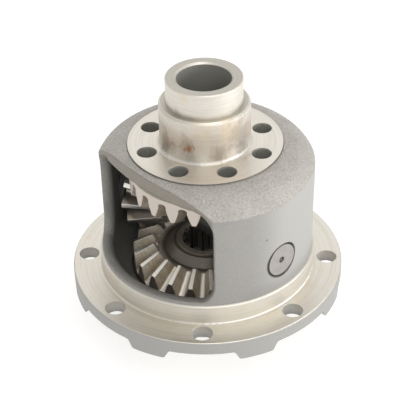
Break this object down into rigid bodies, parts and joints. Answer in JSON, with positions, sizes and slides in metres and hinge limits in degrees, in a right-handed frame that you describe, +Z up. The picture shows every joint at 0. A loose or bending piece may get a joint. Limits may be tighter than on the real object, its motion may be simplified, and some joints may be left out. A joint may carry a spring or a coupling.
{
  "type": "differential gear assembly",
  "caption": "Bevel-gear differential: a windowed cast case with bearing journals and a bolt flange, side gears meshing with spider gears on a cross pin.",
  "frame": {"origin": "centre of the ring-gear seat, the upper face of the flange", "axes": "+Z up the axle axis through the upper journal; the cross pin lies along X; the windows face -Y and +Y"},
  "size_m": [0.1856, 0.1856, 0.1933],
  "materials": {
    "cast_and_machined_case": "cast, with machined seats",
    "pin_steel": "ground",
    "lock_steel": "spring steel",
    "washer_steel": "phosphated",
    "gear_steel": "forged and machined, satin"
  },
  "bodies": {
    "carrier": {"differential_case": "cast_and_machined_case", "cross_pin": "pin_steel", "cross_pin_lock": "lock_steel", "upper_thrust_washer": "washer_steel", "lower_thrust_washer": "washer_steel", "right_spider_washer": "washer_steel", "left_spider_washer": "washer_steel"},
    "upper_side_gear": {"upper_side_gear": "gear_steel"},
    "lower_side_gear": {"lower_side_gear": "gear_steel"},
    "right_spider_gear": {"right_spider_gear": "gear_steel"},
    "left_spider_gear": {"left_spider_gear": "gear_steel"}
  },
  "joints": [
    {"name": "upper_side_gear_spin", "type": "hinge", "parent": "carrier", "child": "upper_side_gear", "pos_m": [0, 0, 0.0359], "axis": [0, 0, 1], "continuous": true},
    {"name": "lower_side_gear_spin", "type": "hinge", "parent": "carrier", "child": "lower_side_gear", "pos_m": [0, 0, 0.0359], "axis": [0, 0, 1], "continuous": true},
    {"name": "right_spider_gear_spin", "type": "hinge", "parent": "carrier", "child": "right_spider_gear", "pos_m": [0, 0, 0.0359], "axis": [1, 0, 0], "continuous": true},
    {"name": "left_spider_gear_spin", "type": "hinge", "parent": "carrier", "child": "left_spider_gear", "pos_m": [0, 0, 0.0359], "axis": [1, 0, 0], "continuous": true}
  ],
  "couplings": [
    {"joint": "lower_side_gear_spin", "follows": "upper_side_gear_spin", "ratio": -1},
    {"joint": "right_spider_gear_spin", "follows": "upper_side_gear_spin", "ratio": -1.6923},
    {"joint": "left_spider_gear_spin", "follows": "upper_side_gear_spin", "ratio": 1.6923}
  ]
}
